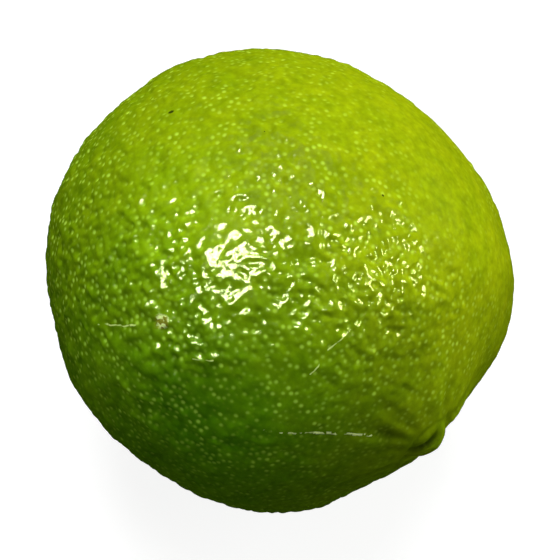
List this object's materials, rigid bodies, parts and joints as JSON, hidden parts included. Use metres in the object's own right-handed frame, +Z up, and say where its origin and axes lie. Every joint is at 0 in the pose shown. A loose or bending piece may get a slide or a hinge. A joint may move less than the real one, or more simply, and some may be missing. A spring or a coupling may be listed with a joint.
{
  "type": "lime",
  "caption": "Whole green lime with a pointed blossom end and a shallow stem end, lying on a small flat spot.",
  "frame": {"origin": "centre of the small flat spot the fruit rests on", "axes": "+X along the fruit's long axis towards the pointed blossom end, +Z up from the resting surface"},
  "size_m": [0.0534, 0.05, 0.0493],
  "materials": {
    "peel": "waxy pebbled citrus peel, yellow-green to deep green, broken gloss over oil glands"
  },
  "bodies": {
    "root": {"lime": "peel"}
  },
  "joints": []
}
